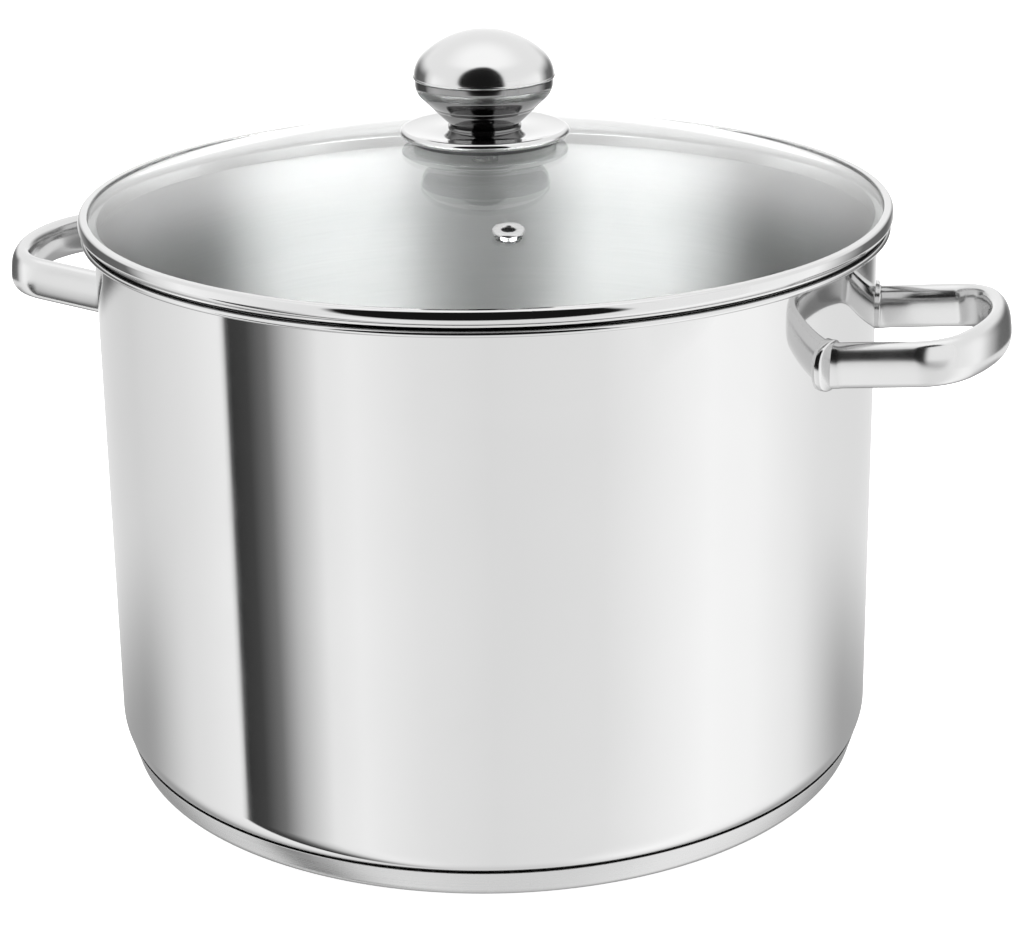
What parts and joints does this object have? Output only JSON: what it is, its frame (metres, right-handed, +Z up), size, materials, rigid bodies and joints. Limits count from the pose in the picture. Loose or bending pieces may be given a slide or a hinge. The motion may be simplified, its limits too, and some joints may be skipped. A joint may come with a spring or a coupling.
{
  "type": "stock pot with lid",
  "caption": "Mirror-polished steel stock pot with sandwich base, tube side handles and a domed glass lid with steel rim, round knob and steam vent.",
  "frame": {"origin": "middle of the flat face the pot stands on", "axes": "+Z up; the two side handles lie along +X and -X; -Y is the front, between the handles"},
  "size_m": [0.38, 0.2922, 0.2674],
  "materials": {
    "polished_steel": "mirror-polished stainless steel",
    "satin_steel": "fine satin stainless steel",
    "core_aluminium": "plain rolled aluminium",
    "tempered_glass": "clear toughened glass, slightly green at the edge",
    "silicone": "matt dark silicone"
  },
  "bodies": {
    "pot": {"pot_body": "polished_steel", "base_core": "core_aluminium", "base_cap": "satin_steel", "handle_right": "polished_steel", "foot_right_front": "polished_steel", "foot_right_rear": "polished_steel", "handle_left": "polished_steel", "foot_left_front": "polished_steel", "foot_left_rear": "polished_steel"},
    "lid": {"lid_glass": "tempered_glass", "lid_rim": "polished_steel", "vent_eyelet": "satin_steel", "knob_cap": "polished_steel", "knob_bowl": "polished_steel", "knob_insert": "satin_steel", "knob_plate": "polished_steel", "outer_gasket": "silicone", "inner_gasket": "silicone", "clamp_washer": "satin_steel", "lock_washer": "satin_steel", "knob_screw": "satin_steel"}
  },
  "joints": [
    {"name": "lid_lift", "type": "slide", "parent": "pot", "child": "lid", "axis": [0, 0, 1], "range_m": [0, 0.12]}
  ]
}
